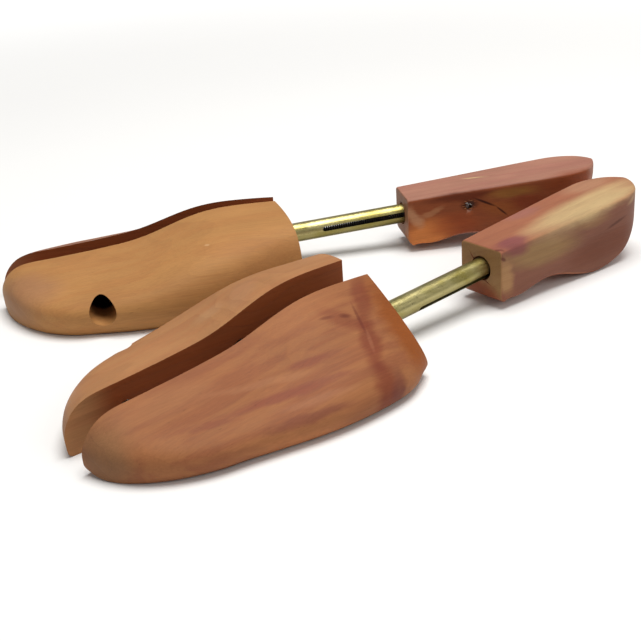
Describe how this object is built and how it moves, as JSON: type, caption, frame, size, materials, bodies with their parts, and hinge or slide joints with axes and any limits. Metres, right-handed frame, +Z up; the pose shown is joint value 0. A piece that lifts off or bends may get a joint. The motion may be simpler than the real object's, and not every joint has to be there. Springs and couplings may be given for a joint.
{
  "type": "pair of split-toe shoe trees",
  "caption": "Pair of cedar shoe trees: split toe halves spread by hidden springs, a slotted spring tube and a sliding heel block on each.",
  "frame": {"origin": "centre of the pair at ground level", "axes": "+X from the toes to the heels along the centre line of the pair, +Y from the left tree to the right tree, +Z up"},
  "size_m": [0.2983, 0.2326, 0.0368],
  "materials": {
    "cedar": "sanded unfinished aromatic cedar, open end grain",
    "brass_plate": "satin brass plating on steel tube",
    "steel": "drawn wire, plain",
    "spring_wire": "bright drawn spring wire"
  },
  "bodies": {
    "left_forepart": {"left_toe_tube_half": "cedar", "left_slotted_tube": "brass_plate", "left_tube_anchor_pin": "steel", "left_front_guide_pin": "steel", "left_rear_guide_pin": "steel", "left_front_spreader_spring": "spring_wire", "left_rear_spreader_spring": "spring_wire", "left_spring_seat": "steel", "left_heel_spring": "spring_wire"},
    "left_free_half": {"left_toe_free_half": "cedar", "left_front_keeper_pin": "steel", "left_rear_keeper_pin": "steel"},
    "left_heel": {"left_heel_block": "cedar", "left_heel_cross_pin": "steel", "left_spring_follower": "steel"},
    "right_forepart": {"right_toe_tube_half": "cedar", "right_slotted_tube": "brass_plate", "right_tube_anchor_pin": "steel", "right_front_guide_pin": "steel", "right_rear_guide_pin": "steel", "right_front_spreader_spring": "spring_wire", "right_rear_spreader_spring": "spring_wire", "right_spring_seat": "steel", "right_heel_spring": "spring_wire"},
    "right_free_half": {"right_toe_free_half": "cedar", "right_front_keeper_pin": "steel", "right_rear_keeper_pin": "steel"},
    "right_heel": {"right_heel_block": "cedar", "right_heel_cross_pin": "steel", "right_spring_follower": "steel"}
  },
  "joints": [
    {"name": "left_heel_slide", "type": "slide", "parent": "left_forepart", "child": "left_heel", "axis": [-0.9664, -0.2499, -0.0593], "range_m": [0, 0.045], "stiffness_N_per_m": 450, "springref_m": -0.012, "deforming": ["left_heel_spring"]},
    {"name": "left_toe_spread", "type": "slide", "parent": "left_forepart", "child": "left_free_half", "axis": [0.2504, -0.9681, 0], "range_m": [0, 0.01], "stiffness_N_per_m": 1200, "springref_m": -0.004, "deforming": ["left_front_spreader_spring", "left_rear_spreader_spring"]},
    {"name": "right_heel_slide", "type": "slide", "parent": "right_forepart", "child": "right_heel", "axis": [-0.9664, 0.2499, -0.0593], "range_m": [0, 0.045], "stiffness_N_per_m": 450, "springref_m": -0.012, "deforming": ["right_heel_spring"]},
    {"name": "right_toe_spread", "type": "slide", "parent": "right_forepart", "child": "right_free_half", "axis": [0.2504, 0.9681, 0], "range_m": [0, 0.01], "stiffness_N_per_m": 1200, "springref_m": -0.004, "deforming": ["right_front_spreader_spring", "right_rear_spreader_spring"]},
    {"name": "right_tree_lift", "type": "slide", "parent": "left_forepart", "child": "right_forepart", "axis": [0, 0, 1], "range_m": [0, 0.12]}
  ]
}
